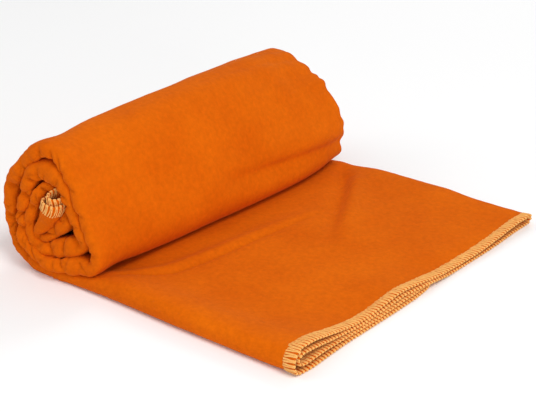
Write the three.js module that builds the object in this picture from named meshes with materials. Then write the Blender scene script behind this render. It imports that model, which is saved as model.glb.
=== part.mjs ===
// Quick dry towel: one rectangular sheet of thin suede-finish cloth with one long
// edge turned in, folded lengthwise in half twice (four layers, 200 mm wide),
// rolled up from one end and left with a short tail lying flat. Millimetres, +Z up.
// +Y runs along the roll, +X points from the roll along the tail. The origin is
// under the middle of the object, on the surface that it rests on.
import * as THREE from 'three';

// ---- driving dimensions (mm) ----
const BAND_WIDTH = 200;        // folded width, near fold to far fold
const CLOTH_T = 0.6;           // cloth thickness
const PITCH_ROLL = 1.35;       // layer to layer distance inside the roll
const PITCH_TAIL_END = 2.5;    // layer to layer distance at the tail's open end
const HEM_W = 6;               // width of the overlock seam along every edge
const GAP = 0.3;               // clearance between neighbouring pieces
const TAIL_LEN = 106;          // hinge line to the tail's end
const FOOT_START = 137;        // tail end to the start of the curl
const EDGE_OUTER = 77;         // y of the long edge that is turned in over the outermost layer
const EDGE_INNER = 72;         // y of the other long edge, facing it inside the fold
const HINGE_LIFT = 0.1;        // hinge axis above the folded cloth's top face
const MAX_TURN = 14 * Math.PI / 180;  // largest direction change per sweep step
const MAX_STEP = 16;           // longest sweep step on a straight run
const ARC_OUTER = 4;           // facets in the outer fold's half circle
const ARC_INNER = 2;           // facets in each small fold's half circle

// Outer face of the rolled cloth, from the tail inwards, as [x, z] with x = 0 at
// the tail's end. Four turns, the last one folding back on itself in the core.
const CURL = [
  [-138, 0], [-150, 0.25], [-158.5, 1.7], [-166, 4.9], [-172.3, 9.9], [-177.2, 16.5],
  [-180.4, 24.5], [-181.5, 33], [-180.3, 42], [-176.8, 50.5], [-171, 58.2], [-163.5, 64.3],
  [-155, 68.2], [-147, 68.2], [-139.8, 64.6], [-134, 58.4], [-129.2, 50.8], [-125.2, 42.6],
  [-121.5, 34.2], [-118.4, 25.8], [-117.2, 17.8], [-119.2, 11.2], [-124.6, 7.0],
  [-132, 5.7], [-141, 5.6], [-150, 6.4], [-158, 9], [-165, 13.5], [-170.2, 19.5],
  [-173.6, 27], [-174.6, 35], [-173.2, 43], [-169.4, 50.3], [-163.6, 56.2], [-156.2, 60.2],
  [-149, 60.8], [-143, 57.5], [-138.3, 51.6], [-134.2, 44.3], [-130.6, 36.5], [-127.3, 28.6],
  [-125.6, 21], [-127.6, 15.4], [-133, 13.0],
  [-140.5, 13.0], [-149, 14.2], [-156.5, 17.6], [-162.2, 22.6], [-166.2, 29], [-167.7, 36],
  [-166.2, 43], [-162, 48.8], [-156, 52.4], [-149.8, 52.6], [-145, 48.7], [-141.3, 43],
  [-138, 36.8], [-136, 30.4], [-138.2, 25.6], [-143.5, 24.2],
  [-149.2, 25.4], [-154.2, 28.3], [-157.6, 32.6], [-158.3, 37.4], [-155.8, 41.6], [-152, 44.2],
];

// ---- the path: dense samples of x, z, heading and length ----
function buildPath() {
  const pts = [];
  for (let i = 0; i < 60; i++) pts.push(new THREE.Vector3(-FOOT_START * i / 60, 0, 0));
  const spline = new THREE.CatmullRomCurve3(
    CURL.map(([x, z]) => new THREE.Vector3(x, 0, z)), false, 'centripetal');
  const n = CURL.length * 14;
  for (let i = 0; i <= n; i++) {
    const p = spline.getPoint(i / n);
    pts.push(new THREE.Vector3(p.x, 0, Math.max(p.z, 0)));
  }
  const s = [0];
  for (let i = 1; i < pts.length; i++) s.push(s[i - 1] + pts[i].distanceTo(pts[i - 1]));
  return { pts, s, length: s[s.length - 1] };
}
const PATH = buildPath();

function at(s) {
  const a = PATH.s;
  let lo = 0, hi = a.length - 1;
  while (hi - lo > 1) { const m = (lo + hi) >> 1; if (a[m] <= s) lo = m; else hi = m; }
  const f = Math.min(Math.max((s - a[lo]) / (a[hi] - a[lo]), 0), 1);
  const p = PATH.pts[lo].clone().lerp(PATH.pts[hi], f);
  const i0 = Math.max(lo - 1, 0), i1 = Math.min(hi + 1, a.length - 1);
  const d = PATH.pts[i1].clone().sub(PATH.pts[i0]).normalize();
  if (s < FOOT_START) d.set(-1, 0, 0);
  return { x: p.x, z: p.z, nx: d.z, nz: -d.x, heading: Math.atan2(d.z, d.x) };
}

// Sweep stations between two lengths: close together where the cloth turns hard.
function stations(s0, s1) {
  const out = [s0];
  let last = s0, h = at(s0).heading;
  for (let s = s0; s < s1; s += 0.25) {
    let dh = at(s).heading - h;
    dh = Math.abs(Math.atan2(Math.sin(dh), Math.cos(dh)));
    if ((dh > MAX_TURN && s - last > 0.6) || s - last > MAX_STEP) {
      out.push(s); last = s; h = at(s).heading;
    }
  }
  if (s1 - last < 0.6 && out.length > 1) out.pop();
  out.push(s1);
  return out;
}

// Layer to layer distance: loose at the tail's open end, close in the roll.
function pitch(s) {
  const f = Math.min(Math.max(s / TAIL_LEN, 0), 1);
  return PITCH_TAIL_END + (PITCH_ROLL - PITCH_TAIL_END) * f;
}

// ---- the folded section in (y, n): n is the distance in from the outer face ----
const layer = (k, p) => CLOTH_T / 2 + k * p;

// Middle line of the folded sheet: turned-in edge, round the lower far fold to the
// outermost layer, round the near fold to the top layer, round the upper far fold,
// round the small near fold and back to the second long edge.
function foldLine(p, yEdge0, yEdge1) {
  const yN = -BAND_WIDTH / 2 + 1.5 * p + CLOTH_T / 2;
  const yF = BAND_WIDTH / 2 - 0.5 * p - CLOTH_T / 2;
  const line = [[yEdge0, layer(1, p)]];
  const arc = (yc, nc, r, dir, from, count) => {
    for (let i = 0; i <= count; i++) {
      const a = Math.PI * i / count;
      line.push([yc + dir * r * Math.sin(a), nc + from * r * Math.cos(a)]);
    }
  };
  arc(yF, layer(0.5, p), 0.5 * p, 1, 1, ARC_INNER);
  arc(yN, layer(1.5, p), 1.5 * p, -1, -1, ARC_OUTER);
  arc(yF, layer(2.5, p), 0.5 * p, 1, 1, ARC_INNER);
  arc(yN, layer(1.5, p), 0.5 * p, -1, 1, ARC_INNER);
  line.push([yEdge1, layer(1, p)]);
  return line;
}

// The line thickened to the cloth's thickness: one closed outline.
function thicken(line, t) {
  const left = [], right = [];
  for (let i = 0; i < line.length; i++) {
    const a = line[Math.max(i - 1, 0)], b = line[i], c = line[Math.min(i + 1, line.length - 1)];
    let d1 = [b[0] - a[0], b[1] - a[1]], d2 = [c[0] - b[0], c[1] - b[1]];
    const l1 = Math.hypot(...d1), l2 = Math.hypot(...d2);
    d1 = l1 ? [d1[0] / l1, d1[1] / l1] : [d2[0] / l2, d2[1] / l2];
    d2 = l2 ? [d2[0] / l2, d2[1] / l2] : d1;
    let m = [-(d1[1] + d2[1]), d1[0] + d2[0]];
    const lm = Math.hypot(...m);
    m = [m[0] / lm, m[1] / lm];
    const k = t / 2 / Math.max(m[0] * -d1[1] + m[1] * d1[0], 0.5);
    left.push([b[0] + m[0] * k, b[1] + m[1] * k]);
    right.push([b[0] - m[0] * k, b[1] - m[1] * k]);
  }
  return left.concat(right.reverse());
}

const clothSection = (p) =>
  thicken(foldLine(p, EDGE_OUTER + HEM_W + GAP, EDGE_INNER - HEM_W - GAP), CLOTH_T);
const fullSection = (p) => thicken(foldLine(p, EDGE_OUTER, EDGE_INNER), CLOTH_T);
const strip = (k, y0) => (p) => {
  const n = layer(k, p), h = CLOTH_T / 2;
  return [[y0, n - h], [y0 + HEM_W, n - h], [y0 + HEM_W, n + h], [y0, n + h]];
};

// ---- sweep a section along the path into one closed body ----
function sweep(section, s0, s1) {
  const ss = stations(s0, s1);
  const rings = ss.map((s) => ({ f: at(s), poly: section(pitch(s)) }));
  const n = rings[0].poly.length;
  const pos = [], idx = [];
  for (const { f, poly } of rings)
    for (const [y, d] of poly) pos.push(f.x + f.nx * d, y, f.z + f.nz * d);
  for (let i = 0; i + 1 < rings.length; i++)
    for (let j = 0; j < n; j++) {
      const a = i * n + j, b = i * n + (j + 1) % n, c = a + n, d = b + n;
      idx.push(a, b, d, a, d, c);
    }
  for (const [ring, flip] of [[0, false], [rings.length - 1, true]]) {
    const tris = THREE.ShapeUtils.triangulateShape(
      rings[ring].poly.map(([y, d]) => new THREE.Vector2(y, d)), []);
    for (const [a, b, c] of tris) {
      const t = [ring * n + a, ring * n + b, ring * n + c];
      idx.push(...(flip ? t.reverse() : t));
    }
  }
  // caps and walls must agree: a wall edge is used once each way
  const g = new THREE.BufferGeometry();
  const used = new Set();
  for (let i = 0; i < (rings.length - 1) * n * 6; i += 3)
    for (let k = 0; k < 3; k++) used.add(idx[i + k] + '_' + idx[i + (k + 1) % 3]);
  const capStart = (rings.length - 1) * n * 6;
  for (const part of [0, 1]) {
    const per = (idx.length - capStart) / 2, from = capStart + part * per;
    let clash = false;
    for (let i = from; i < from + per; i += 3)
      for (let k = 0; k < 3; k++) if (used.has(idx[i + k] + '_' + idx[i + (k + 1) % 3])) clash = true;
    if (clash) for (let i = from; i < from + per; i += 3) [idx[i], idx[i + 1]] = [idx[i + 1], idx[i]];
  }
  let vol = 0;
  for (let i = 0; i < idx.length; i += 3) {
    const [a, b, c] = [idx[i], idx[i + 1], idx[i + 2]].map((q) => new THREE.Vector3(...pos.slice(3 * q, 3 * q + 3)));
    vol += a.dot(b.cross(c)) / 6;
  }
  if (vol < 0) for (let i = 0; i < idx.length; i += 3) [idx[i], idx[i + 1]] = [idx[i + 1], idx[i]];
  g.setAttribute('position', new THREE.Float32BufferAttribute(pos, 3));
  g.setIndex(idx);
  g.computeVertexNormals();
  return g;
}

// ---- materials ----
const cloth = () => new THREE.MeshStandardMaterial({ color: 0xd9690f, roughness: 0.9, metalness: 0 });
const thread = () => new THREE.MeshStandardMaterial({ color: 0xf6a95c, roughness: 0.8, metalness: 0 });

// ---- pieces ----
const END = PATH.length;
const SPLIT0 = TAIL_LEN - GAP / 2, SPLIT1 = TAIL_LEN + GAP / 2;
const hemOuter = strip(1, EDGE_OUTER), hemInner = strip(1, EDGE_INNER - HEM_W);
const group = new THREE.Group();

// Centre of the overall box: tail end at x = 0, roll's back at the path's lowest x.
const backX = Math.min(...PATH.pts.map((p) => p.x));
const SHIFT_X = -backX / 2;
const tail = new THREE.Group(), roll = new THREE.Group();
tail.position.set(SHIFT_X, -0.05, 0);
roll.position.set(SHIFT_X, -0.05, 0);
group.add(tail, roll);

function add(parent, name, geometry, material) {
  const m = new THREE.Mesh(geometry, material);
  m.name = name;
  parent.add(m);
}

add(roll, 'towel_cloth_roll', sweep(clothSection, SPLIT1, END - HEM_W - GAP), cloth());
add(tail, 'towel_cloth_tail', sweep(clothSection, HEM_W + GAP, SPLIT0), cloth());
add(tail, 'tail_end_hem', sweep(fullSection, 0, HEM_W), thread());
add(roll, 'core_end_hem', sweep(fullSection, END - HEM_W, END), thread());
add(tail, 'outer_side_hem_tail', sweep(hemOuter, HEM_W + GAP, SPLIT0), thread());
add(roll, 'outer_side_hem_roll', sweep(hemOuter, SPLIT1, END - HEM_W - GAP), thread());
add(tail, 'inner_side_hem_tail', sweep(hemInner, HEM_W + GAP, SPLIT0), thread());
add(roll, 'inner_side_hem_roll', sweep(hemInner, SPLIT1, END - HEM_W - GAP), thread());

export default group;
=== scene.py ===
import bpy
import math
import numpy as np
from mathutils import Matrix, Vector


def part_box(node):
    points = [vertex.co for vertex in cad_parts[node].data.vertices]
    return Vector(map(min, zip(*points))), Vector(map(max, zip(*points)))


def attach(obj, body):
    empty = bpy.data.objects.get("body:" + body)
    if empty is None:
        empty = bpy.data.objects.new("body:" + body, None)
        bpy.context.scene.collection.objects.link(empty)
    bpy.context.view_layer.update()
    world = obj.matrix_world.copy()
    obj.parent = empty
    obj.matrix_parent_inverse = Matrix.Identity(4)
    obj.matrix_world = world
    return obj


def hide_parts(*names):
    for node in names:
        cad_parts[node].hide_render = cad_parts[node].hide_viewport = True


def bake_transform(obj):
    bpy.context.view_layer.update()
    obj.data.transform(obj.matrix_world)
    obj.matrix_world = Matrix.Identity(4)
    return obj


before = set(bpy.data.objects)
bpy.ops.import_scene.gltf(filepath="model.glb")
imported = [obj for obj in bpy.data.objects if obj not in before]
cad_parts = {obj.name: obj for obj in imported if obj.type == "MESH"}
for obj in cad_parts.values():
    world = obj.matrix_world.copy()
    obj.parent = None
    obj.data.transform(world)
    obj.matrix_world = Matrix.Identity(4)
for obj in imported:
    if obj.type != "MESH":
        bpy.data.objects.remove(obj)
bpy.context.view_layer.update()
MM = 0.001
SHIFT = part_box("tail_end_hem")[1].x / MM      # x of the tail's end, mm

# ------------------------------------------------------------------ dimensions (mm)
CLOTH_T = 0.6
THREAD_PITCH = 1.15      # half an overlock stitch
HEM_W = 5.8

# Near-end centre line of the folded band from the hinge into the core:
# x, z, half thickness of the band's rounded near edge, how far that edge stands out.
NEAR = np.array([
    [-106.0, 5.0, 4.9, 0.6], [-120.0, 4.1, 4.0, 0.6], [-135.0, 3.1, 2.9, 0.6], [-147.9, 2.8, 2.5, 0.8],
    [-158.5, 3.2, 2.4, 0.8], [-167.2, 5.8, 2.4, 0.8], [-173.2, 10.8, 2.4, 0.6], [-176.8, 17.1, 2.6, 0.4],
    [-178.2, 24.6, 2.9, 0.3], [-177.9, 32.0, 3.6, 0.2], [-177.6, 39.1, 4.1, 0.0], [-174.6, 45.3, 3.9, 0.0],
    [-169.4, 51.1, 3.5, 0.0], [-163.9, 57.6, 3.4, 0.0], [-157.5, 63.1, 3.4, -0.4], [-150.4, 65.5, 3.3, -0.8],
    [-144.2, 63.6, 3.1, -1.0], [-138.6, 57.8, 3.0, -2.0], [-133.7, 51.4, 3.0, -1.0], [-129.6, 43.8, 2.9, 0.0],
    [-125.9, 35.4, 2.8, 0.0], [-122.1, 27.0, 2.8, 0.0], [-119.8, 19.7, 2.8, 0.0], [-120.3, 14.8, 2.8, 0.0],
    [-123.4, 12.0, 3.0, 0.6], [-127.5, 11.9, 3.9, 1.2], [-132.0, 11.5, 4.4, 2.0], [-137.1, 10.1, 4.0, 3.0],
    [-142.9, 9.1, 3.3, 4.0], [-149.5, 8.8, 2.7, 4.2], [-155.8, 9.9, 2.6, 4.2], [-161.8, 12.6, 2.6, 4.0],
    [-166.0, 16.9, 2.7, 3.6], [-168.0, 22.1, 3.0, 3.0], [-168.3, 27.6, 3.2, 2.4], [-166.8, 33.2, 3.0, 2.0],
    [-165.0, 38.8, 3.1, 2.0], [-163.6, 44.2, 3.2, 2.0], [-161.6, 49.1, 3.6, 2.0], [-158.5, 52.4, 4.2, 1.0],
    [-154.5, 54.0, 4.8, 0.0], [-150.0, 54.2, 5.0, -0.5], [-145.5, 53.2, 4.6, -0.5], [-141.5, 50.0, 4.0, 0.0],
    [-138.3, 45.6, 3.4, 0.0], [-135.8, 40.6, 3.0, 0.0], [-133.3, 35.4, 2.8, 0.0], [-131.0, 31.0, 2.9, 0.0],
    [-128.7, 27.3, 3.0, 0.0], [-128.6, 24.0, 3.2, 0.0], [-132.8, 21.2, 4.2, 0.6], [-139.1, 18.8, 4.8, 1.0],
    [-144.9, 16.6, 4.4, 1.5], [-150.8, 14.9, 3.4, 2.0], [-156.4, 15.0, 2.7, 2.0], [-160.6, 17.6, 2.4, 2.0],
    [-162.7, 21.9, 2.4, 2.0], [-162.6, 27.0, 2.4, 2.0], [-161.0, 32.3, 2.4, 1.5], [-158.8, 37.8, 2.4, 1.0],
    [-155.9, 43.1, 2.5, 1.0], [-152.6, 46.4, 2.2, -0.5], [-149.0, 45.6, 1.9, -2.5], [-145.8, 42.8, 1.7, -4.0],
    [-143.2, 39.2, 1.7, -5.0], [-141.2, 35.9, 2.0, -3.0], [-140.0, 32.4, 3.0, 0.0], [-143.4, 28.1, 3.2, 0.0],
    [-148.7, 23.6, 2.6, 0.0], [-153.2, 20.2, 2.0, 0.0], [-156.6, 19.6, 1.7, 0.5], [-157.6, 21.6, 1.9, 1.0],
    [-155.6, 24.8, 3.0, 1.5], [-151.8, 29.6, 4.4, 2.2], [-148.4, 34.6, 5.0, 3.0], [-146.2, 38.4, 4.9, 4.0],
    [-145.2, 41.0, 4.7, 5.0],
])

# Outer face of the band away from the near end (the CAD model's curl), x, z.
CURL = np.array([
    [-138, 0], [-150, 0.25], [-158.5, 1.7], [-166, 4.9], [-172.3, 9.9], [-177.2, 16.5],
    [-180.4, 24.5], [-181.5, 33], [-180.3, 42], [-176.8, 50.5], [-171, 58.2], [-163.5, 64.3],
    [-155, 68.2], [-147, 68.2], [-139.8, 64.6], [-134, 58.4], [-129.2, 50.8], [-125.2, 42.6],
    [-121.5, 34.2], [-118.4, 25.8], [-117.2, 17.8], [-119.2, 11.2], [-124.6, 7.0],
    [-132, 5.7], [-141, 5.6], [-150, 6.4], [-158, 9], [-165, 13.5], [-170.2, 19.5],
    [-173.6, 27], [-174.6, 35], [-173.2, 43], [-169.4, 50.3], [-163.6, 56.2], [-156.2, 60.2],
    [-149, 60.8], [-143, 57.5], [-138.3, 51.6], [-134.2, 44.3], [-130.6, 36.5], [-127.3, 28.6],
    [-125.6, 21], [-127.6, 15.4], [-133, 13.0],
    [-140.5, 13.0], [-149, 14.2], [-156.5, 17.6], [-162.2, 22.6], [-166.2, 29], [-167.7, 36],
    [-166.2, 43], [-162, 48.8], [-156, 52.4], [-149.8, 52.6], [-145, 48.7], [-141.3, 43],
    [-138, 36.8], [-136, 30.4], [-138.2, 25.6], [-143.5, 24.2],
    [-149.2, 25.4], [-154.2, 28.3], [-157.6, 32.6], [-158.3, 37.4], [-155.8, 41.6], [-152, 44.2],
], float)
AXIS = np.array([-150.0, 33.0])   # middle of the roll, x, z

# height of the top layer along the tail's open edge: y, z
EDGE_Y = np.array([-100, -96, -92, -84, -76, -68, -60, -52, -42, -30, -20, -8, 3, 16, 32, 49, 64, 78, 90, 100.0])
EDGE_Z = np.array([11.5, 12.4, 12.4, 11.2, 9.8, 8.2, 6.9, 5.9, 5.4, 6.2, 7.0, 6.6, 5.6, 4.2, 3.8, 4.0, 4.8, 5.2, 5.4, 5.4])


# ------------------------------------------------------------------ small helpers
def catmull(P, per=14, alpha=0.5):
    """Centripetal Catmull-Rom through P: points and the fractional knot index of each."""
    P = np.asarray(P, float)
    Q = np.vstack([2 * P[0] - P[1], P, 2 * P[-1] - P[-2]])
    out = []
    for i in range(1, len(Q) - 2):
        p0, p1, p2, p3 = Q[i - 1:i + 3]
        t0 = 0.0
        t1 = t0 + np.linalg.norm(p1 - p0) ** alpha
        t2 = t1 + np.linalg.norm(p2 - p1) ** alpha
        t3 = t2 + np.linalg.norm(p3 - p2) ** alpha
        t = np.linspace(t1, t2, per, endpoint=False)[:, None]
        A1 = (t1 - t) / (t1 - t0) * p0 + (t - t0) / (t1 - t0) * p1
        A2 = (t2 - t) / (t2 - t1) * p1 + (t - t1) / (t2 - t1) * p2
        A3 = (t3 - t) / (t3 - t2) * p2 + (t - t2) / (t3 - t2) * p3
        B1 = (t2 - t) / (t2 - t0) * A1 + (t - t0) / (t2 - t0) * A2
        B2 = (t3 - t) / (t3 - t1) * A2 + (t - t1) / (t3 - t1) * A3
        out.append((t2 - t) / (t2 - t1) * B1 + (t - t1) / (t2 - t1) * B2)
    out.append(P[-1][None])
    return np.vstack(out), np.linspace(0, len(P) - 1, (len(P) - 1) * per + 1)


def arclen(C):
    return np.r_[0, np.cumsum(np.linalg.norm(np.diff(C, axis=0), axis=1))]


def headings(C):
    d = np.gradient(C, axis=0)
    return d / np.maximum(np.linalg.norm(d, axis=1), 1e-9)[:, None]


def smooth01(x):
    x = np.clip(x, 0, 1)
    return x * x * (3 - 2 * x)


def gauss(x, s):
    return np.exp(-(x / s) ** 2)


def wave(x, seed, scale, octaves=3):
    """Smooth seeded 1-D noise, about -1 to 1."""
    rng = np.random.RandomState(seed)
    y = np.zeros_like(np.asarray(x, float))
    amp, tot = 1.0, 0.0
    for _ in range(octaves):
        for _ in range(3):
            f = rng.uniform(0.7, 1.35) / scale
            y = y + amp * np.sin(2 * math.pi * f * x + rng.uniform(0, 6.283))
        tot += amp * 1.7
        amp *= 0.5
        scale *= 0.5
    return y / tot


def wave2(x, y, seed, sx, sy, n=9):
    """Smooth seeded 2-D noise, about -1 to 1."""
    rng = np.random.RandomState(seed)
    z = 0.0
    for _ in range(n):
        a = rng.uniform(0, 2 * math.pi)
        k = rng.uniform(0.5, 1.3)
        z = z + np.sin(2 * math.pi * k * (math.cos(a) * x / sx + math.sin(a) * y / sy) + rng.uniform(0, 6.283))
    return z / (n ** 0.5 * 1.4)


def ridge(x, y, pts, s, h):
    """A soft ridge (h > 0) or valley (h < 0) along a polyline of (x, y[, strength])."""
    x, y = np.broadcast_arrays(x, y)
    best = np.full(x.shape, 1e9)
    strength = np.zeros(x.shape)
    for a, b in zip(pts[:-1], pts[1:]):
        ax, ay, aw = (tuple(a) + (1.0,))[:3]
        bx, by, bw = (tuple(b) + (1.0,))[:3]
        L2 = (bx - ax) ** 2 + (by - ay) ** 2
        t = np.clip(((x - ax) * (bx - ax) + (y - ay) * (by - ay)) / L2, 0, 1)
        d = np.hypot(x - ax - t * (bx - ax), y - ay - t * (by - ay))
        near = d < best
        best = np.where(near, d, best)
        strength = np.where(near, aw + t * (bw - aw), strength)
    return h * strength * gauss(best, s)


# ------------------------------------------------------------------ the path
def build_path():
    tail_x = -np.arange(0, 106, 1.0)
    spline, knot = catmull(NEAR[:, :2], 12)
    near = np.vstack([np.stack([tail_x, np.zeros_like(tail_x)], 1), spline])
    nh = np.r_[np.interp(-tail_x, [0, 30, 60, 90, 106], [5.4, 5.3, 5.2, 5.0, 4.9]),
               np.interp(knot, np.arange(len(NEAR)), NEAR[:, 2])]
    nt = np.r_[np.interp(-tail_x, [0, 70, 106], [2.0, 1.6, 0.6]), np.interp(knot, np.arange(len(NEAR)), NEAR[:, 3])]
    knots = np.r_[np.full(len(tail_x), -1.0), knot]
    level = near.copy()
    level[knots < 3, 1] = 0                     # the tail's own rise is not cloth length
    s = arclen(level)
    # the regular curl, matched by winding angle about the roll's middle
    outer = np.vstack([np.stack([-np.arange(0, 137, 1.0), np.zeros(137)], 1), catmull(CURL, 12)[0]])
    d = headings(outer)
    reg = outer + np.stack([d[:, 1], -d[:, 0]], 1) * 2.3
    rs = arclen(reg)

    def winding(C):
        v = C - AXIS
        a = np.unwrap(np.arctan2(-v[:, 0], -v[:, 1]))
        return a
    start_n = int(np.nonzero(near[:, 0] < -150)[0][0])
    start_r = int(np.nonzero(reg[:, 0] < -150)[0][0])
    wn, wr = winding(near), winding(reg)
    wn, wr = wn - wn[start_n], wr - wr[start_r]
    last = int(np.nonzero(knots <= 60)[0].max())
    wr_up = np.maximum.accumulate(wr)
    match = np.zeros(len(near))
    for i in range(len(near)):
        if near[i, 1] < 12 and i <= start_n:
            match[i] = np.interp(-near[i, 0], -reg[:start_r + 1, 0], rs[:start_r + 1])
        elif i <= last:
            match[i] = np.interp(wn[i], wr_up, rs)
    tail_part = (s[last:] - s[last]) / (s[-1] - s[last])
    match[last:] = match[last] + tail_part * (rs[-1] - match[last])
    match = np.maximum.accumulate(match + 1e-3 * s)
    k = 9
    ker = np.hanning(2 * k + 1); ker /= ker.sum()
    pad = np.r_[np.full(k, match[0]), match, np.full(k, match[-1])]
    match = np.convolve(pad, ker, "valid")
    match = match * (rs[-1] / match[-1])
    match = match - 0.02 * (len(match) - 1 - np.arange(len(match))) / len(match)
    far = np.stack([np.interp(match, rs, reg[:, 0]), np.interp(match, rs, reg[:, 1])], 1)
    return near, far, s, nh, nt, knots


PN, PF, PS, PH, PT, PK = build_path()
LENGTH = PS[-1]


def path_stations():
    """v samples: wide along the tail, close in the inner turns."""
    v = [0.0, 0.7, 1.6, 2.8, 4.2, 5.8, 7.6]
    while v[-1] < LENGTH - 0.2:
        a = v[-1]
        step = 3.0 if a < 66 else 1.4 if a < 140 else 1.1
        if LENGTH - a < 16:
            step = 1.2
        v.append(a + step)
    v[-1] = LENGTH
    return np.array(v)


V = path_stations()
NV = len(V)
CN = np.stack([np.interp(V, PS, PN[:, i]) for i in (0, 1)], 1)
CF = np.stack([np.interp(V, PS, PF[:, i]) for i in (0, 1)], 1)
HN = np.interp(V, PS, PH)
TN = np.interp(V, PS, PT)
KN = np.interp(V, PS, PK)
hd = headings(CN)
NN = np.stack([hd[:, 1], -hd[:, 0]], 1)
NN[V < 120] = (0, 1)
hd = headings(CF)
NF = np.stack([hd[:, 1], -hd[:, 0]], 1)
NF[V < 120] = (0, 1)
for arr in (NN, NF):                      # calm the normals a little
    for _ in range(2):
        arr[1:-1] = 0.25 * arr[:-2] + 0.5 * arr[1:-1] + 0.25 * arr[2:]
    arr /= np.linalg.norm(arr, axis=1)[:, None]


# v of a knot number, for placing creases
def v_at(k):
    m = PK >= 0
    return float(np.interp(k, PK[m], PS[m]))


# ------------------------------------------------------------------ near-edge buckles
# knot, spread along v (mm), pinch back into the roll (mm), change of half thickness
BUCKLES = [
    (8.2, 3.0, 2.2, -0.9), (10.4, 2.6, 2.6, -1.1), (12.6, 3.4, 1.4, -0.5), (6.6, 2.6, 1.0, -0.4),
    (14.4, 2.4, 1.8, -0.8), (15.6, 2.0, 1.6, -0.7),
    (25.4, 2.8, 0.6, -0.3), (27.6, 2.4, 2.0, -1.0), (29.6, 2.6, 0.8, -0.4), (31.4, 2.2, 0.8, -0.4),
    (33.0, 2.2, 2.4, -0.9), (34.4, 2.0, 2.0, -0.8), (36.3, 1.7, 2.4, -0.8), (38.0, 1.6, 2.2, -0.9), (39.6, 2.2, 1.2, -0.5),
    (42.6, 2.4, 0.8, -0.4), (46.8, 3.0, 0.8, -0.3), (49.6, 2.0, 1.8, -0.8),
    (51.2, 1.8, 2.2, -1.2), (52.6, 1.8, 1.6, -0.9), (54.2, 2.0, 1.2, -0.5), (56.6, 1.8, 1.2, -0.5), (58.6, 2.0, 1.4, -0.5),
    (60.6, 1.8, 1.6, -0.5), (67.6, 1.8, 1.2, -0.6), (70.2, 1.6, 1.6, -0.3),
]
pinch = np.zeros(NV)
roll_in = smooth01((V - 125) / 30)
HN = HN * (1 + 0.13 * roll_in * (1 - smooth01((V - (LENGTH - 40)) / 30)))
for k, sv, dy, dh in BUCKLES:
    g = gauss(V - v_at(k), sv) * (0.35 if k < 24 else 0.8)
    pinch += 0.35 * dy * g
    HN = HN + 0.45 * dh * g
pinch += roll_in * (0.55 * wave(V, 3, 21.0) + 0.25 * wave(V, 4, 7.0, 2))
HN = HN * (1 + roll_in * 0.05 * wave(V, 5, 9.0, 2))
HN = np.maximum(HN, 1.5)
TN = TN - pinch
# sharp creases pressed into the folded edge: v, slant across the fold, depth, half width, reach along y
CREASES = [(v_at(k), (1.8 if i % 2 else -1.6) * (1 + 0.35 * math.sin(5.0 * i)), (1.15 if k < 24 else 1.5) * dy + 0.5, 1.2, 8.0) for i, (k, sv, dy, dh) in enumerate(BUCKLES)]
_rng = np.random.RandomState(77)
for _v in np.arange(165.0, 545.0, 11.5):
    CREASES.append((_v + _rng.uniform(-4, 4), _rng.uniform(-6.5, 6.5), _rng.uniform(1.0, 3.0), _rng.uniform(0.8, 1.3), _rng.uniform(5, 14)))


# two broad hollows in the outer turn's fold
CREASES += [(v_at(10.4), 2.0, 1.9, 3.6, 9.0), (v_at(8.1), -1.5, 1.1, 2.4, 7.0)]


def crease_field(Vv, frac, inset):
    """Depth of the creases at lengthwise place Vv, across the fold frac (-1..1), inset from the fold in y."""
    out = 0.0
    for v0, sl, d, w, reach in CREASES:
        out = out + d * np.exp(-np.abs(Vv - v0 - sl * frac) / w) * np.exp(-inset / reach)
    return np.minimum(out, 4.0) * (0.64 + 0.36 * np.tanh(3 * frac + 0.6))

# ------------------------------------------------------------------ y samples of a layer
def layer_y(n, dense_near, dense_far):
    q = np.linspace(0, 1, n)
    # warp so that both ends are sampled closely
    w = 0.5 - 0.5 * np.cos(math.pi * q)
    return (1 - dense_near) * q + dense_near * w


N_OUT, N_IN, N_U, N_FU, N_IU, N_TURN = 58, 17, 19, 9, 9, 7
Q_OUT = layer_y(N_OUT, 0.75, 0.75)
Q_IN = layer_y(N_IN, 0.85, 0.85)
Q_TURN = layer_y(N_TURN, 0.6, 0.6)
HEM_HALF = 0.66          # half thickness of a seam
TURN_EDGE, OPEN_EDGE = 78.0, 72.5      # y of the two long edges, facing each other inside the fold


def skew(y):
    """How far the two lower layers' ends are set back under the tail's far half."""
    return 9.5 * smooth01((np.asarray(y, float) - 1) / 31)


def far_puff(x):
    """Share of the far edge's puffiness at x along the tail."""
    return np.interp(x, [-124, -113, -96, -84, -50, -34, 0], [0, .2, .8, 1, 1, .6, .45])


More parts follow.
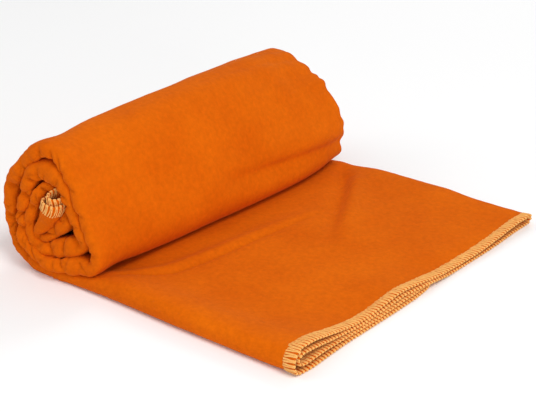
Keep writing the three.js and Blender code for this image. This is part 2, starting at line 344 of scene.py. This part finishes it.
# height of the top layer's middle above the lowest one, along the tail
def stack_half(Vv, y):
    Vv, y = np.broadcast_arrays(Vv, y)
    x = -np.minimum(Vv, 150)
    edge = np.interp(y, EDGE_Y, EDGE_Z) - HEM_HALF
    inner = 4.9 + 3.2 * gauss(y + 104, 26) + 0.45 * wave2(x, y, 11, 90, 120)
    e = smooth01((Vv - 1) / (36 - 22 * smooth01((y - 4) / 24)))
    zt = edge * (1 - e) + inner * e
    # a long shallow pleat running out from under the roll, and its lower side
    pleat = [(-124, -97, 0.4), (-115, -88, .8), (-108, -77, 1), (-102, -66, 1), (-98.6, -48, 1), (-96, -26, .9), (-93.4, -4, .7), (-90, 21, .35), (-86, 40, 0)]
    zt = zt + ridge(x + 2.8, y, pleat, 4.2, 1.7) + ridge(x - 1.6, y, pleat, 1.7, -1.7) + ridge(x + 11, y, pleat, 6.0, -0.6)
    # a soft hollow across the far half of the tail
    hollow = [(-112, 88, .4), (-105.8, 82, .9), (-94.7, 64, 1), (-84.5, 47, 1), (-74.8, 30, .8), (-59.8, 6, 0)]
    zt = zt + ridge(x, y, hollow, 5.0, -3.2) + ridge(x - 9, y + 3, hollow, 6.0, 2.6)
    zt = zt + 1.6 * gauss(y - 98, 18) * far_puff(x)
    zt = zt + ridge(x, y, [(-66, -100, 1), (-52, -84, .7), (-40, -70, 0)], 3.2, -0.7) + ridge(x, y, [(-30, -100, 0.2), (-26, -86, 1), (-24, -70, 0)], 4, 0.5)
    z0 = 0.36 + 0.55 * smooth01((13 - Vv) / 7)
    half = np.maximum(zt - z0, 2.0) / 2
    roll = smooth01((Vv - 112) / 26)
    return half * (1 - roll) + 1.75 * roll


def theta_of(C):
    v = C - AXIS
    return np.degrees(np.arctan2(-v[..., 0], -v[..., 1])) % 360


# swell and sag of the roll against its near-end outline, mm: rows by angle up from
# below (clockwise seen from -Y), columns by y
SWELL_Y = np.array([-100, -85, -60, -30, 0, 30, 60, 80, 92, 100.0])
SWELL_T = np.array([0, 60, 100, 125, 145, 163, 180, 200, 225, 245, 268, 285, 300, 314, 330, 360.0])
SWELL = np.array([
    [0, 0, 0, 0, 0, 0, 0, 0, 0, 0],
    [0, 0, .3, .5, .5, .5, .5, .5, .3, 0],
    [0, .5, 1.5, 2, 2.5, 3, 3.5, 3.5, 3, 2],
    [0, 1.0, 2.6, 3.4, 4.0, 5.0, 5.6, 5.6, 5.2, 4.6],
    [0, 1.3, 2.8, 3.2, 3.9, 4.8, 5.0, 4.2, 3.4, 2.6],
    [0, 1.2, 2.4, 2.6, 2.8, 3.0, 2.4, 0, -2.6, -4.3],
    [0, .8, 1.8, 1.6, 1.2, 0.6, -1.8, -5.5, -8.3, -10.2],
    [0, .4, 1.0, .6, 0, -1.0, -4.0, -7.5, -9.6, -10.8],
    [0, 0, .4, .2, -.4, -1.2, -2.8, -4.4, -5.3, -5.8],
    [0, 0, 0, 0, 0, -.4, -1.4, -2.6, -3.5, -4.0],
    [0, 0, .1, .2, .2, 0, -.6, -1.2, -1.5, -1.7],
    [0, 0, 0, 0, 0, 0, -.4, -1.2, -2.2, -3.0],
    [0, 0, 0, 0, 0, 0, 0, -1.2, -2.6, -3.6],
    [0, 0, 0, 0, 0, 0, 0, -.4, -.8, -1.0],
    [0, 0, 0, 0, 0, 0, 0, 0, 0, 0],
    [0, 0, 0, 0, 0, 0, 0, 0, 0, 0]], float)
FRONT_Y = np.array([0, 0, .4, 1.9, 3.7, 5.0, 5.2, 4.0, 2.4, 1.0])
OUTLINE = np.array([[-177.2, 16.5], [-180.4, 24.5], [-181.5, 33], [-180.3, 42], [-176.8, 50.5], [-171, 58.2], [-163.5, 64.3],
                    [-155, 68.2], [-147, 68.2], [-139.8, 64.6], [-134, 58.4], [-129.2, 50.8], [-125.2, 42.6],
                    [-121.5, 34.2], [-118.4, 25.8], [-117.2, 17.8], [-119.2, 11.2], [-124.6, 5.0], [-138, 0.5], [-150, 0], [-160, 1]])


def table(T, Yq):
    """Smooth lookup in SWELL."""
    yi = np.interp(Yq, SWELL_Y, np.arange(len(SWELL_Y)))
    ti = np.interp(T, SWELL_T, np.arange(len(SWELL_T)))
    i, j = np.clip(ti.astype(int), 0, len(SWELL_T) - 2), np.clip(yi.astype(int), 0, len(SWELL_Y) - 2)
    a, b = ti - i, yi - j
    a, b = 0.35 * a + 0.65 * smooth01(a), 0.35 * b + 0.65 * smooth01(b)
    return (SWELL[i, j] * (1 - a) * (1 - b) + SWELL[i + 1, j] * a * (1 - b)
            + SWELL[i, j + 1] * (1 - a) * b + SWELL[i + 1, j + 1] * a * b)


OT = theta_of(OUTLINE)
ORD = np.argsort(OT)
OT, OR = OT[ORD], np.hypot(*(OUTLINE - AXIS).T)[ORD]


def outline_r(T):
    return np.interp(T, np.r_[OT[-1] - 360, OT, OT[0] + 360], np.r_[OR[-1], OR, OR[0]])


# ------------------------------------------------------------------ build the sheet
def build_sheet():
    v = V[:, None]
    a_near = 1.15 * HN + 0.6                      # depth of the near fold
    a_near = np.where(V < 112, HN * (1.0 + 0.05 * smooth01((20 - V) / 20)), a_near)
    yb = (-100.0 - TN + a_near)[:, None]          # where the near fold starts
    roll_w = smooth01((V - 120) / 40)
    wob = 0.8 * wave(V, 23, 60, 2) * (1 - smooth01((V - 60) / 80)) + smooth01((V - 60) / 80) * 0.9 * wave(V, 21, 33.0, 2)
    far_wave = wob + roll_w * 1.25 * wave(V, 22, 15.0, 2)
    low_wave = wob + roll_w * (1.25 * wave(V + 1.0, 22, 15.0, 2) + 0.3 * wave(V, 24, 9.0, 2))
    core_f = smooth01((V - (LENGTH - 60)) / 50)
    puff = far_puff(-np.minimum(V, 150.0))
    rim = 2.4 * smooth01((V - v_at(15.5)) / 12) * (1 - smooth01((V - v_at(22)) / 14))
    corner = 2.2 * gauss(V, 12)
    yup = (98.6 + 3.0 * puff + far_wave + rim + corner - 3.5 * core_f)[:, None]      # outermost y of the upper far fold
    ylo = (98.0 + 1.0 * puff - 3.0 * (1 - roll_w) + low_wave + rim - 3.5 * core_f)[:, None]

    def n_layer(k, y):
        """Distance of layer k (0 outer, 3 inner/top) from the band's middle."""
        r = stack_half(v, np.clip(y, -100, 100))
        far = gauss(np.maximum((yup if k > 1 else ylo) - 3 - y, 0), 12.0)
        w_bulb = np.where(V < 112, 13.0, 9.0)[:, None]
        near = gauss(np.maximum(y - yb, 0), w_bulb)
        if k in (0, 3):
            m = r + (HN[:, None] - r) * near
            m = m + 0.45 * far * roll_w[:, None]
            return m if k == 3 else -m
        inner = r / 3 + (HI[:, None] - r / 3) * gauss(np.maximum(y - yb - YI, 0), w_bulb * 0.8)
        if k == 2:
            return inner + 0.05 * far
        return -inner - 0.05 * far

    core = smooth01((V - (LENGTH - 24)) / 18)
    HI = np.maximum(HN * (0.48 + 0.20 * core), 0.65)
    YI = 0.30 * (a_near * (1 - 0.85 * core))[:, None]     # inner fold starts this much further in
    AI = (0.62 + 0.26 * core) * a_near
    parts = []
    FLATNESS = (0.66 - 0.14 * smooth01((V - 125) / 30))[:, None]

    def turn(y0, kA, kB):
        """A far fold from layer kA to layer kB whose outermost point is at y0."""
        nA, nB = n_layer(kA, y0 - 2.0), n_layer(kB, y0 - 2.0)
        h = np.abs(nA - nB) / 2
        a = 1.5 * h + 0.5
        yf = y0 - a
        nA, nB = n_layer(kA, yf), n_layer(kB, yf)
        ph = np.linspace(math.pi / 2, -math.pi / 2, N_FU)[None]
        return yf, yf + a * np.cos(ph), (nA + nB) / 2 + (nA - nB) / 2 * np.sin(ph)

    # turned-in strip, lower far fold, outermost layer
    yf, yy, nn = turn(ylo, 1, 0)
    y = TURN_EDGE + (yf - TURN_EDGE) * Q_TURN[None]
    parts.append((y, n_layer(1, y), 1))
    parts.append((yy[:, 1:-1], nn[:, 1:-1], 0))
    y = yf + (yb - yf) * Q_OUT[None]
    parts.append((y, n_layer(0, y), 0))
    # outer near fold
    ph = np.linspace(-math.pi / 2, math.pi / 2, N_U)[None]
    yy = yb - a_near[:, None] * np.sign(np.cos(ph)) * np.abs(np.cos(ph)) ** FLATNESS
    nn = HN[:, None] * np.sin(ph)
    parts.append((yy[:, 1:-1], nn[:, 1:-1], 0))
    # top layer, upper far fold, third layer
    yf, yy, nn = turn(yup, 3, 2)
    y = yb + (yf - yb) * Q_OUT[None]
    parts.append((y, n_layer(3, y), 3))
    parts.append((yy[:, 1:-1], nn[:, 1:-1], 2.5))
    ybi = yb + YI
    y = yf + (ybi - yf) * Q_IN[None]
    parts.append((y, n_layer(2, y), 2))
    # inner near fold, second layer
    ph = np.linspace(math.pi / 2, -math.pi / 2, N_IU)[None]
    nA, nB = n_layer(2, ybi), n_layer(1, ybi)
    yy = ybi - AI[:, None] * np.cos(ph)
    nn = (nA + nB) / 2 + (nA - nB) / 2 * np.sin(ph)
    parts.append((yy[:, 1:-1], nn[:, 1:-1], 1.5))
    y = ybi + (OPEN_EDGE - ybi) * Q_IN[None]
    parts.append((y, n_layer(1, y), 1))

    Y = np.hstack([np.broadcast_to(p[0], (NV, p[0].shape[1])) for p in parts])
    Nn = np.hstack([np.broadcast_to(p[1], (NV, p[1].shape[1])) for p in parts])
    K = np.hstack([np.full((1, p[0].shape[1]), float(p[2])) for p in parts])
    # the lowest layer's distance at the same y, so that the tail rests on the floor
    N0 = n_layer(0, np.maximum(Y, yb))
    N3 = n_layer(3, np.maximum(Y, yb))

    # ---- place in space
    wn = gauss(np.maximum(Y - yb - 4, 0), 30.0)[..., None]       # near profile's share
    C = CF[:, None, :] * (1 - wn) + CN[:, None, :] * wn
    Nv = NF[:, None, :] * (1 - wn) + NN[:, None, :] * wn
    Nv = Nv / np.linalg.norm(Nv, axis=2)[..., None]
    # creases: the fold's face goes in, its flanks pull together
    inset = np.maximum(Y - yb, 0)
    frac = np.clip(Nn / HN[:, None], -1, 1)
    cd = crease_field(v, frac, inset) * smooth01((V - 130) / 30)[:, None]
    face = np.clip((yb - Y) / a_near[:, None], 0, 1)
    Y = Y + cd * face
    Nn = Nn - 0.55 * cd * frac * (1 - face) * (np.abs(frac) > 0.5)
    inner_u = np.clip(1.5 - np.abs(K - 1.5), 0, 1)
    local = core[:, None] * gauss(np.maximum(Y + 60, 0), 40)
    Nn = Nn * (1 - local * (0.35 * smooth01(inset / 10) * ((K == 0) | (K == 3)) + 0.72 * inner_u * smooth01((Y - ybi + 0.5) / 5)))
    X = C[..., 0] + Nv[..., 0] * Nn
    Z = C[..., 1] + Nv[..., 1] * Nn
    # the inner end is uneven: each layer's end stands a little past the one outside it
    hd2 = np.stack([Nv[..., 1] * -1, Nv[..., 0]], -1)
    late = smooth01((V - (LENGTH - 26)) / 20)[:, None] * gauss(np.maximum(Y + 70, 0), 45)
    stag = late * (inner_u * (4.2 + 4.2 * smooth01((Y - ybi + 1) / 6)) + 0.7 * (1 + frac) * (1 - inner_u))
    X = X + hd2[..., 0] * stag
    Z = Z + hd2[..., 1] * stag
    # tail rule: x from the path, z from the floor up
    tail_w = (1 - smooth01((V - 128) / 26))[:, None]
    z_floor = 0.36 + 0.55 * smooth01((13 - v) / 7)
    z_tail = z_floor + (Nn - N0)
    # where the lower layers' ends are set back, the third layer lies down on the floor
    sk = skew(Y)
    drop = smooth01((sk - 3) / 5) * smooth01((sk + 0.5 - v) / 7.5)
    k2 = np.clip(1 - np.abs(K - 2) * 1.0, 0, 1)
    z_tail = z_tail - drop * k2 * (z_tail - 0.95)
    # ---- swell, sag and dents of the roll
    P2 = np.stack([X, Z], -1)
    th = theta_of(P2)
    rad = np.hypot(X - AXIS[0], Z - AXIS[1])
    ro = outline_r(th)
    on_roll = smooth01((V - 140) / 40)[:, None]
    inward = np.clip(rad / ro, 0, 1.05)
    dr = table(th, Y) * inward
    outer_turn = (smooth01((V - 150) / 20) * (1 - smooth01((V - v_at(24)) / 30)))[:, None]
    dent = 0.5 * wave2(V[:, None] * 1.0, Y, 31, 95, 130)
    dent = dent + ridge(Z, Y, [(26, -10, 0), (24.5, 4, .6), (22.9, 23, 1), (21.4, 40, 1), (18.8, 67, 1), (16, 95, .8)], 5.2, -4.4) * (th > 230)
    dent = dent + ridge(Z, Y, [(36, 20, 0), (34, 40, 1), (31, 70, 1), (28, 92, .5)], 5.0, 1.2) * (th > 230)
    dent = dent + 2.6 * gauss(th - 322, 13) * smooth01((Y + 92) / 30) * smooth01((96 - Y) / 24)
    dent = dent + ridge(th, Y, [(196, -96, .2), (188, -70, 1), (176, -40, 1), (170, -15, 0)], 9.0, -0.8)
    dent = dent + ridge(th, Y, [(214, -10, 0), (206, 10, 1), (196, 34, .8), (188, 60, 0)], 8.0, -0.6)
    dr = dr + outer_turn * dent * smooth01((Y - yb) / 12)
    dr = dr * on_roll
    ux, uz = (X - AXIS[0]) / np.maximum(rad, 1e-6), (Z - AXIS[1]) / np.maximum(rad, 1e-6)
    X = X + ux * dr
    Z = Z + uz * dr
    front = np.interp(Y, SWELL_Y, FRONT_Y) * gauss(th - 297, 27) * inward ** 2
    X = X + front * on_roll
    Z = z_tail * tail_w + Z * (1 - tail_w)
    # the open end wanders a little in x, layer by layer
    edge_w = smooth01((70 - V) / 70)[:, None]
    low = np.clip(1.5 - K, 0, 1)
    X = X - sk * low * edge_w
    lead = np.interp(Y, [-100, -90, -75, -40, -10, 6, 30, 100], [1.4, 2.3, 2.2, 2.4, 2.6, 1.2, 0, 0])
    lead = lead + np.interp(Y, [-12, 6, 30, 70, 100], [0, 6.4, 5.6, 5.0, 4.4]) * k2
    lead_top = np.interp(Y, [-14, 16, 60, 90, 100], [0, 1.6, 1.8, 2.0, 2.6]) * np.clip(K - 2, 0, 1)
    X = X + smooth01((30 - V) / 30)[:, None] * (0.45 * wave2(K * 7.0, Y, 41, 40, 50) + 0.3 + lead * (3 - K) / 3 + lead_top)
    # fine cloth relief: faint creases
    fine = 0.09 * wave2(V[:, None], Y, 51, 14, 22, 14) + 0.045 * wave2(V[:, None], Y, 52, 5, 7, 14)
    X = X + Nv[..., 0] * fine
    Z = Z + Nv[..., 1] * fine
    Z = np.maximum(Z, 0.31)
    return np.stack([X, Y, Z], 2)


G = build_sheet()            # (NV, NU, 3) middle surface, mm, x from the tail's end
NU = G.shape[1]
seg_u = np.linalg.norm(np.diff(G, axis=1), axis=2)
U_LEN = np.hstack([np.zeros((NV, 1)), np.cumsum(seg_u, axis=1)])


def grid_normals(G):
    du = np.gradient(G, axis=1)
    dv = np.gradient(G, axis=0)
    n = np.cross(du, dv)
    return n / np.maximum(np.linalg.norm(n, axis=2), 1e-9)[..., None]


GN = grid_normals(G)


def place(P):
    """mm, x from the tail's end -> metres in the row frame."""
    return (P + np.array([SHIFT, 0, 0])) * MM


def new_mesh(name, verts, faces, uv=None, smooth=True):
    me = bpy.data.meshes.new(name)
    me.from_pydata(np.asarray(verts).tolist(), [], np.asarray(faces).tolist())
    me.update()
    if smooth:
        me.polygons.foreach_set("use_smooth", np.ones(len(me.polygons), bool))
    if uv is not None:
        layer = me.uv_layers.new(name="UVMap")
        loops = np.zeros(len(me.loops), np.int32)
        me.loops.foreach_get("vertex_index", loops)
        layer.data.foreach_set("uv", np.asarray(uv, np.float32)[loops].ravel())
    ob = bpy.data.objects.new(name, me)
    bpy.context.scene.collection.objects.link(ob)
    return ob


def sheet_mesh():
    h = CLOTH_T / 2
    top = (G + GN * h).reshape(-1, 3)
    bot = (G - GN * h).reshape(-1, 3)
    n = NV * NU
    i = np.arange(NV - 1)[:, None] * NU + np.arange(NU - 1)[None]
    q = np.stack([i, i + 1, i + NU + 1, i + NU], -1).reshape(-1, 4)
    faces = [q, q[:, ::-1] + n]
    a = np.arange(NU - 1)                         # rims
    e0 = np.stack([a + 1, a, a + n, a + 1 + n], 1)
    last = (NV - 1) * NU
    e1 = np.stack([last + a, last + a + 1, last + a + 1 + n, last + a + n], 1)
    b = np.arange(NV - 1) * NU
    s0 = np.stack([b, b + NU, b + NU + n, b + n], 1)
    s1 = np.stack([b + 2 * NU - 1, b + NU - 1, b + NU - 1 + n, b + 2 * NU - 1 + n], 1)
    faces += [e0, e1, s0, s1]
    verts = place(np.vstack([top, bot]))
    u_mean = U_LEN
    uv = np.stack([u_mean, np.broadcast_to(V[:, None], (NV, NU))], 2).reshape(-1, 2) / 1000.0
    return new_mesh("towel_cloth", verts, np.vstack(faces), np.vstack([uv, uv]))


cloth = sheet_mesh()


# ------------------------------------------------------------------ overlock seams
def interp_grid(A, fi, fj):
    """Bilinear sample of A (NV, NU, c) at fractional row fi and column fj."""
    fi = np.clip(fi, 0, NV - 1.000001)
    fj = np.clip(fj, 0, NU - 1.000001)
    i, j = fi.astype(int), fj.astype(int)
    a, b = (fi - i)[..., None], (fj - j)[..., None]
    return (A[i, j] * (1 - a) * (1 - b) + A[i + 1, j] * a * (1 - b)
            + A[i, j + 1] * (1 - a) * b + A[i + 1, j + 1] * a * b)


# one loop of thread round the cut edge: distance in from the edge, height off the middle, lean along the edge
LOOP = np.array([
    [5.9, 0.10, 0.00], [5.6, 0.36, 0.02], [4.2, 0.42, 0.18], [2.4, 0.43, 0.40], [0.8, 0.41, 0.58],
    [-0.20, 0.28, 0.66], [-0.42, 0.0, 0.66], [-0.20, -0.28, 0.60], [0.8, -0.41, 0.48], [2.8, -0.43, 0.24],
    [5.0, -0.40, 0.05], [5.9, -0.14, 0.00],
])


def tubes(name, rings, radius, sides=5):
    """Closed loops of thread. rings: (count, m, 3) in mm."""
    c, m, _ = rings.shape
    d = np.roll(rings, -1, 1) - np.roll(rings, 1, 1)
    d /= np.maximum(np.linalg.norm(d, axis=2), 1e-9)[..., None]
    mid = rings.mean(1, keepdims=True)
    out = rings - mid
    a = out - (out * d).sum(2)[..., None] * d
    a /= np.maximum(np.linalg.norm(a, axis=2), 1e-9)[..., None]
    b = np.cross(d, a)
    ang = np.arange(sides) * 2 * math.pi / sides
    P = rings[:, :, None] + (a[:, :, None] * np.cos(ang)[None, None, :, None] * radius
                             + b[:, :, None] * np.sin(ang)[None, None, :, None] * radius * 1.8)
    base = (np.arange(c) * m * sides)[:, None, None]
    k = np.arange(m)[None, :, None]
    s = np.arange(sides)[None, None, :]
    A = base + k * sides + s
    B = base + k * sides + (s + 1) % sides
    C = base + ((k + 1) % m) * sides + (s + 1) % sides
    D = base + ((k + 1) % m) * sides + s
    F = np.stack([A, B, C, D], -1).reshape(-1, 4)
    uv = np.stack([np.broadcast_to((k * 1.0 + 0 * s + 0 * base), A.shape), np.broadcast_to(s * 1.0 + 0 * k + base / (m * sides), A.shape)], -1).reshape(-1, 2) * 0.01
    return new_mesh(name, place(P.reshape(-1, 3)), F, uv)


def end_seam(name, row, seed):
    """Thread loops along the sheet's first or last row."""
    line = G[row]
    L = arclen(line)
    count = int(L[-1] / THREAD_PITCH)
    at = (np.arange(count) + 0.5) * L[-1] / count
    rng = np.random.RandomState(seed)
    jit = rng.uniform(-0.12, 0.12, (count, len(LOOP)))
    lift = 1 + rng.uniform(-0.10, 0.10, (count, 1)) + 0.10 * (np.arange(count) % 2)[:, None]
    lean = np.where((np.arange(count) % 2)[:, None] > 0, 0.55, 1.35)
    pos = at[:, None] + LOOP[None, :, 2] * 1.2 * lean + jit
    fj = np.interp(pos, L, np.arange(NU))
    depth = LOOP[None, :, 0] + rng.uniform(-0.25, 0.25, (count, 1)) * (LOOP[None, :, 0] > 3)
    if row == 0:
        fi = np.interp(np.maximum(depth, 0), V, np.arange(NV))
        j0, j1 = 0, 2
    else:
        fi = np.interp(LENGTH - np.maximum(depth, 0), V, np.arange(NV))
        j0, j1 = NV - 1, NV - 3
    P = interp_grid(G, fi, fj)
    N = interp_grid(GN, fi, fj)
    N /= np.linalg.norm(N, axis=2)[..., None]
    out = interp_grid(G, np.full_like(fj, j0), fj) - interp_grid(G, np.full_like(fj, j1), fj)
    out /= np.linalg.norm(out, axis=2)[..., None]
    P = P + out * np.maximum(-depth, 0)[..., None] + N * (LOOP[None, :, 1] * lift)[..., None]
    return tubes(name, P, 0.27)


def side_seam(name, first, seed):
    """Thread loops along a free long edge: the sheet's first or last column."""
    col = 0 if first else NU - 1
    line = G[:, col]
    L = arclen(line)
    keep0, keep1 = 6.2, L[-1] - 6.2
    count = int((keep1 - keep0) / THREAD_PITCH)
    at = keep0 + (np.arange(count) + 0.5) * (keep1 - keep0) / count
    rng = np.random.RandomState(seed)
    lift = 1 + rng.uniform(-0.10, 0.10, (count, 1))
    pos = at[:, None] + LOOP[None, :, 2] * 1.2 + rng.uniform(-0.1, 0.1, (count, len(LOOP)))
    fi = np.interp(pos, L, np.arange(NV))
    depth = np.broadcast_to(LOOP[None, :, 0], fi.shape)
    ul = U_LEN[np.clip(np.round(fi).astype(int), 0, NV - 1)]
    m = 14
    idx = np.arange(m)
    fj = np.zeros_like(fi)
    for r in range(fi.shape[0]):
        row = ul[r, 0]
        dist = row[:m] if first else (row[-1] - row[::-1])[:m]
        f = np.interp(np.maximum(depth[r], 0), dist, idx)
        fj[r] = f if first else NU - 1 - f
    P = interp_grid(G, fi, fj)
    N = interp_grid(GN, fi, fj)
    N /= np.linalg.norm(N, axis=2)[..., None]
    a, b = (0, 1) if first else (NU - 1, NU - 2)
    out = interp_grid(G, fi, np.full_like(fi, a)) - interp_grid(G, fi, np.full_like(fi, b))
    out /= np.linalg.norm(out, axis=2)[..., None]
    P = P + out * np.maximum(-depth, 0)[..., None] + N * (LOOP[None, :, 1] * lift)[..., None]
    return tubes(name, P, 0.26)


tail_hem = end_seam("tail_end_overlock", 0, 101)
core_hem = end_seam("core_end_overlock", NV - 1, 102)
outer_side = side_seam("outer_side_overlock", True, 103)
inner_side = side_seam("inner_side_overlock", False, 104)


# ------------------------------------------------------------------ materials
def node_material(name):
    m = bpy.data.materials.new(name)
    m.use_nodes = True
    nt = m.node_tree
    nt.nodes.clear()
    out = nt.nodes.new("ShaderNodeOutputMaterial")
    bs = nt.nodes.new("ShaderNodeBsdfPrincipled")
    nt.links.new(bs.outputs[0], out.inputs[0])
    return m, nt, bs


def add(nt, kind, **kw):
    n = nt.nodes.new(kind)
    for k, v in kw.items():
        if k in n.inputs:
            n.inputs[k].default_value = v
        else:
            setattr(n, k, v)
    return n


def cloth_material():
    m, nt, bs = node_material("microfibre_suede")
    L = nt.links.new
    tc = add(nt, "ShaderNodeTexCoord")
    # broad brushed-nap mottling
    nap = add(nt, "ShaderNodeTexNoise", Scale=26.0, Detail=5.0, Roughness=0.62)
    L(tc.outputs["Object"], nap.inputs["Vector"])
    fine = add(nt, "ShaderNodeTexNoise", Scale=420.0, Detail=4.0, Roughness=0.7)
    L(tc.outputs["Object"], fine.inputs["Vector"])
    ramp = add(nt, "ShaderNodeValToRGB")
    ramp.color_ramp.elements[0].position = 0.30
    ramp.color_ramp.elements[0].color = (0.690, 0.115, 0.0012, 1)
    ramp.color_ramp.elements[1].position = 0.74
    ramp.color_ramp.elements[1].color = (0.790, 0.152, 0.0022, 1)
    L(nap.outputs["Fac"], ramp.inputs["Fac"])
    ramp2 = add(nt, "ShaderNodeValToRGB")
    ramp2.color_ramp.elements[0].position = 0.25
    ramp2.color_ramp.elements[0].color = (0.80, 0.78, 0.76, 1)
    ramp2.color_ramp.elements[1].position = 0.75
    ramp2.color_ramp.elements[1].color = (1.0, 1.0, 1.0, 1)
    L(fine.outputs["Fac"], ramp2.inputs["Fac"])
    mul = add(nt, "ShaderNodeMix", data_type="RGBA", blend_type="MULTIPLY")
    mul.inputs[0].default_value = 1.0
    L(ramp.outputs["Color"], mul.inputs[6])
    L(ramp2.outputs["Color"], mul.inputs[7])
    L(mul.outputs[2], bs.inputs["Base Color"])
    # knit structure along and across the cloth, from the flat coordinates
    sep = add(nt, "ShaderNodeSeparateXYZ")
    L(tc.outputs["UV"], sep.inputs[0])

    def ribs(out, period):
        mm = add(nt, "ShaderNodeMath", operation="MULTIPLY")
        mm.inputs[1].default_value = 2 * math.pi / period
        L(out, mm.inputs[0])
        sn = add(nt, "ShaderNodeMath", operation="SINE")
        L(mm.outputs[0], sn.inputs[0])
        return sn.outputs[0]
    ra = ribs(sep.outputs["X"], 0.00055)
    rb = ribs(sep.outputs["Y"], 0.00070)
    prod = add(nt, "ShaderNodeMath", operation="MULTIPLY")
    L(ra, prod.inputs[0]); L(rb, prod.inputs[1])
    addn = add(nt, "ShaderNodeMath", operation="MULTIPLY_ADD")
    L(prod.outputs[0], addn.inputs[0]); addn.inputs[1].default_value = 0.35
    L(fine.outputs["Fac"], addn.inputs[2])
    bump = add(nt, "ShaderNodeBump", Strength=0.35, Distance=0.00025)
    L(addn.outputs[0], bump.inputs["Height"])
    bump2 = add(nt, "ShaderNodeBump", Strength=0.30, Distance=0.0011)
    L(nap.outputs["Fac"], bump2.inputs["Height"])
    L(bump.outputs[0], bump2.inputs["Normal"])
    L(bump2.outputs[0], bs.inputs["Normal"])
    bs.inputs["Roughness"].default_value = 0.92
    bs.inputs["Specular IOR Level"].default_value = 0.04
    bs.inputs["Sheen Weight"].default_value = 0.10
    bs.inputs["Sheen Roughness"].default_value = 0.28
    bs.inputs["Sheen Tint"].default_value = (1.0, 0.72, 0.28, 1)
    return m


def thread_material():
    m, nt, bs = node_material("overlock_thread")
    L = nt.links.new
    tc = add(nt, "ShaderNodeTexCoord")
    n1 = add(nt, "ShaderNodeTexNoise", Scale=900.0, Detail=3.0, Roughness=0.6)
    L(tc.outputs["Object"], n1.inputs["Vector"])
    ramp = add(nt, "ShaderNodeValToRGB")
    ramp.color_ramp.elements[0].position = 0.30
    ramp.color_ramp.elements[0].color = (0.84, 0.395, 0.098, 1)
    ramp.color_ramp.elements[1].position = 0.70
    ramp.color_ramp.elements[1].color = (0.95, 0.505, 0.150, 1)
    L(n1.outputs["Fac"], ramp.inputs["Fac"])
    L(ramp.outputs["Color"], bs.inputs["Base Color"])
    w = add(nt, "ShaderNodeTexWave", Scale=700.0, Distortion=2.0)
    w.bands_direction = "DIAGONAL"
    L(tc.outputs["Object"], w.inputs["Vector"])
    bump = add(nt, "ShaderNodeBump", Strength=0.4, Distance=0.0002)
    L(w.outputs["Fac"], bump.inputs["Height"])
    L(bump.outputs[0], bs.inputs["Normal"])
    bs.inputs["Roughness"].default_value = 0.75
    bs.inputs["Specular IOR Level"].default_value = 0.12
    bs.inputs["Sheen Weight"].default_value = 0.06
    bs.inputs["Sheen Roughness"].default_value = 0.5
    bs.inputs["Sheen Tint"].default_value = (1.0, 0.85, 0.7, 1)
    return m


MAT_CLOTH = cloth_material()
MAT_THREAD = thread_material()
cloth.data.materials.append(MAT_CLOTH)
for o in (tail_hem, core_hem, outer_side, inner_side):
    o.data.materials.append(MAT_THREAD)

# ------------------------------------------------------------------ bodies
for o in (cloth, outer_side, inner_side):
    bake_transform(o)
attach(tail_hem, "tail")
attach(core_hem, "roll")
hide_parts("towel_cloth_roll", "towel_cloth_tail")
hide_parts("tail_end_hem")
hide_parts("core_end_hem")
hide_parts("outer_side_hem_tail", "outer_side_hem_roll")
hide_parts("inner_side_hem_tail", "inner_side_hem_roll")

# ------------------------------------------------------------------ stage, light, camera
def floor():
    s = 2.5
    ob = new_mesh("floor", [(-s, -s, 0), (s, -s, 0), (s, s, 0), (-s, s, 0)], [(0, 1, 2, 3)], smooth=False)
    m, nt, bs = node_material("pale_floor")
    bs.inputs["Base Color"].default_value = (0.97, 0.97, 0.97, 1)
    bs.inputs["Roughness"].default_value = 0.9
    bs.inputs["Specular IOR Level"].default_value = 0.1
    ob.data.materials.append(m)
    return ob


floor_ob = floor()


def area_light(name, loc, target, size, power, colour=(1, 1, 1)):
    li = bpy.data.lights.new(name, "AREA")
    li.shape = "DISK"
    li.size = size
    li.energy = power
    li.color = colour
    ob = bpy.data.objects.new(name, li)
    bpy.context.scene.collection.objects.link(ob)
    from mathutils import Vector
    ob.location = loc
    ob.rotation_euler = (Vector(target) - Vector(loc)).to_track_quat("-Z", "Y").to_euler()
    return ob


area_light("key", (0.55, -0.25, 0.95), (0, 0, 0.02), 0.55, 5.6)
area_light("front_low", (0.95, -0.60, 0.20), (-0.02, 0, 0.02), 0.5, 3.3)
area_light("fill_left", (-0.9, -0.6, 0.55), (-0.05, 0, 0.03), 0.8, 2.5)
area_light("back", (-0.3, 0.95, 0.75), (-0.05, 0, 0.03), 0.6, 3.1)

world = bpy.data.worlds.new("studio")
bpy.context.scene.world = world
world.use_nodes = True
world.node_tree.nodes["Background"].inputs[0].default_value = (1, 1, 1, 1)
world.node_tree.nodes["Background"].inputs[1].default_value = 0.50


def camera():
    from mathutils import Matrix, Vector
    az, el = math.radians(38.792), math.radians(24.02)
    back = Vector((math.sin(az) * math.cos(el), -math.cos(az) * math.cos(el), math.sin(el)))
    right = Vector((math.cos(az), math.sin(az), 0))
    up = back.cross(right)
    target = Vector(((-121.075 + SHIFT) * MM, 32.998 * MM, 0))
    cam = bpy.data.cameras.new("camera")
    cam.sensor_width = 36.0
    cam.lens = 1500.0 / 536.0 * 36.0
    cam.clip_start = 0.05
    cam.clip_end = 20
    ob = bpy.data.objects.new("camera", cam)
    bpy.context.scene.collection.objects.link(ob)
    M = Matrix((right, up, back)).transposed().to_4x4()
    M.translation = target + back * 0.809693
    ob.matrix_world = M
    bpy.context.scene.camera = ob


camera()
bpy.context.scene.view_settings.view_transform = "Standard"
bpy.context.scene.view_settings.look = "None"

bpy.context.view_layer.update()
